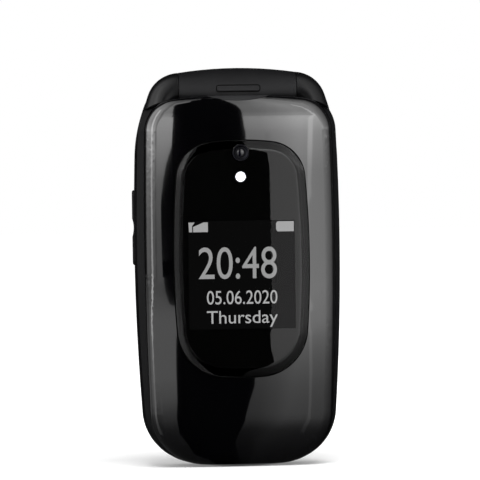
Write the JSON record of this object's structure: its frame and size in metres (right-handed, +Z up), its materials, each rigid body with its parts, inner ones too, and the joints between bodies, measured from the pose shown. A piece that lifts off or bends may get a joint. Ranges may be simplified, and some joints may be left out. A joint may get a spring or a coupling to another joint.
{
  "type": "flip phone",
  "caption": "Closed flip phone standing on end: gloss lid with an outer display, camera and torch, sprung keypad inside, friction hinge, side volume rocker and removable back cover.",
  "frame": {"origin": "centre of the bounding box in X and Y, lowest point of the phone in Z", "axes": "+Z up along the phone from its lower end to the hinge, +Y from the lid's face to the back, +X to the right seen from the lid's face"},
  "size_m": [0.0539, 0.0192, 0.103],
  "materials": {
    "gloss_black": "high gloss moulded black with a clear hard coat",
    "soft_black": "fine matt texture",
    "satin_black": "satin moulded",
    "smoked_window": "dark smoked clear plastic",
    "clear_window": "lightly smoked clear plastic",
    "display_glass": "black display panel",
    "ring_metal": "dark anodised, fine turned",
    "ring_silver": "satin silver paint",
    "module_black": "moulded black",
    "torch_lens": "clear lens over a white LED",
    "circuit_board": "green solder mask",
    "mesh_metal": "fine dark woven mesh",
    "screw_steel": "bright machined steel",
    "bumper_rubber": "soft black",
    "flex_film": "amber film",
    "battery_wrap": "grey printed wrap, plain",
    "key_plastic": "satin key caps with pale legends",
    "call_green": "satin key cap with a green legend",
    "end_red": "satin key cap with a red legend"
  },
  "bodies": {
    "base": {"base_front_housing": "satin_black", "base_rear_housing": "soft_black", "dome_sheet": "flex_film", "main_board": "circuit_board", "battery": "battery_wrap", "battery_contacts": "module_black", "base_screws": "screw_steel", "screw_plugs": "bumper_rubber", "card_socket": "screw_steel", "shield_can": "screw_steel", "loudspeaker": "module_black", "charging_socket": "screw_steel", "headphone_socket": "module_black", "vibration_motor": "screw_steel", "antenna": "flex_film", "volume_switches": "screw_steel", "microphone": "screw_steel", "lid_switch": "module_black", "hinge_pin": "screw_steel", "hinge_cam_shaft": "screw_steel"},
    "lid": {"lid_front_cover": "gloss_black", "lid_inner_frame": "soft_black", "outer_window": "smoked_window", "outer_display": "display_glass", "camera_ring": "ring_metal", "camera_module": "module_black", "torch_led": "torch_lens", "lid_board": "circuit_board", "barrel_tab": "soft_black", "main_window": "clear_window", "main_display": "display_glass", "earpiece_mesh": "mesh_metal", "earpiece_speaker": "module_black", "lid_screws": "screw_steel", "lid_bumpers": "bumper_rubber", "lid_magnet": "ring_metal", "hinge_cartridge": "screw_steel", "hinge_flex": "flex_film"},
    "star_key_body": {"star_key": "key_plastic"},
    "zero_key_body": {"zero_key": "key_plastic"},
    "hash_key_body": {"hash_key": "key_plastic"},
    "seven_key_body": {"seven_key": "key_plastic"},
    "eight_key_body": {"eight_key": "key_plastic"},
    "nine_key_body": {"nine_key": "key_plastic"},
    "four_key_body": {"four_key": "key_plastic"},
    "five_key_body": {"five_key": "key_plastic"},
    "six_key_body": {"six_key": "key_plastic"},
    "one_key_body": {"one_key": "key_plastic"},
    "two_key_body": {"two_key": "key_plastic"},
    "three_key_body": {"three_key": "key_plastic"},
    "soft_left_key_body": {"soft_left_key": "key_plastic"},
    "soft_right_key_body": {"soft_right_key": "key_plastic"},
    "call_key_body": {"call_key": "call_green"},
    "end_key_body": {"end_key": "end_red"},
    "nav_ring_body": {"nav_ring": "ring_silver"},
    "ok_key_body": {"ok_key": "key_plastic"},
    "rocker_body": {"volume_rocker": "soft_black"},
    "cover_body": {"battery_cover": "soft_black"}
  },
  "joints": [
    {"name": "lid_hinge", "type": "hinge", "parent": "base", "child": "lid", "pos_m": [0, 0, 0.0978], "axis": [-1, 0, 0], "range_deg": [0, 160]},
    {"name": "star_key_press", "type": "slide", "parent": "base", "child": "star_key_body", "axis": [0, 1, 0], "range_m": [0, 0.00025], "stiffness_N_per_m": 1000},
    {"name": "zero_key_press", "type": "slide", "parent": "base", "child": "zero_key_body", "axis": [0, 1, 0], "range_m": [0, 0.00025], "stiffness_N_per_m": 1000},
    {"name": "hash_key_press", "type": "slide", "parent": "base", "child": "hash_key_body", "axis": [0, 1, 0], "range_m": [0, 0.00025], "stiffness_N_per_m": 1000},
    {"name": "seven_key_press", "type": "slide", "parent": "base", "child": "seven_key_body", "axis": [0, 1, 0], "range_m": [0, 0.00025], "stiffness_N_per_m": 1000},
    {"name": "eight_key_press", "type": "slide", "parent": "base", "child": "eight_key_body", "axis": [0, 1, 0], "range_m": [0, 0.00025], "stiffness_N_per_m": 1000},
    {"name": "nine_key_press", "type": "slide", "parent": "base", "child": "nine_key_body", "axis": [0, 1, 0], "range_m": [0, 0.00025], "stiffness_N_per_m": 1000},
    {"name": "four_key_press", "type": "slide", "parent": "base", "child": "four_key_body", "axis": [0, 1, 0], "range_m": [0, 0.00025], "stiffness_N_per_m": 1000},
    {"name": "five_key_press", "type": "slide", "parent": "base", "child": "five_key_body", "axis": [0, 1, 0], "range_m": [0, 0.00025], "stiffness_N_per_m": 1000},
    {"name": "six_key_press", "type": "slide", "parent": "base", "child": "six_key_body", "axis": [0, 1, 0], "range_m": [0, 0.00025], "stiffness_N_per_m": 1000},
    {"name": "one_key_press", "type": "slide", "parent": "base", "child": "one_key_body", "axis": [0, 1, 0], "range_m": [0, 0.00025], "stiffness_N_per_m": 1000},
    {"name": "two_key_press", "type": "slide", "parent": "base", "child": "two_key_body", "axis": [0, 1, 0], "range_m": [0, 0.00025], "stiffness_N_per_m": 1000},
    {"name": "three_key_press", "type": "slide", "parent": "base", "child": "three_key_body", "axis": [0, 1, 0], "range_m": [0, 0.00025], "stiffness_N_per_m": 1000},
    {"name": "soft_left_key_press", "type": "slide", "parent": "base", "child": "soft_left_key_body", "axis": [0, 1, 0], "range_m": [0, 0.00025], "stiffness_N_per_m": 1000},
    {"name": "soft_right_key_press", "type": "slide", "parent": "base", "child": "soft_right_key_body", "axis": [0, 1, 0], "range_m": [0, 0.00025], "stiffness_N_per_m": 1000},
    {"name": "call_key_press", "type": "slide", "parent": "base", "child": "call_key_body", "axis": [0, 1, 0], "range_m": [0, 0.00025], "stiffness_N_per_m": 1000},
    {"name": "end_key_press", "type": "slide", "parent": "base", "child": "end_key_body", "axis": [0, 1, 0], "range_m": [0, 0.00025], "stiffness_N_per_m": 1000},
    {"name": "nav_ring_press", "type": "slide", "parent": "base", "child": "nav_ring_body", "axis": [0, 1, 0], "range_m": [0, 0.00025], "stiffness_N_per_m": 1000},
    {"name": "ok_key_press", "type": "slide", "parent": "base", "child": "ok_key_body", "axis": [0, 1, 0], "range_m": [0, 0.00025], "stiffness_N_per_m": 1000},
    {"name": "volume_rocker_tilt", "type": "hinge", "parent": "base", "child": "rocker_body", "pos_m": [-0.02575, 0.0034, 0.062], "axis": [0, 1, 0], "range_deg": [-3, 3], "stiffness_Nm_per_rad": 0.1},
    {"name": "battery_cover_lift", "type": "slide", "parent": "base", "child": "cover_body", "axis": [0, 1, 0], "range_m": [0, 0.025]}
  ]
}
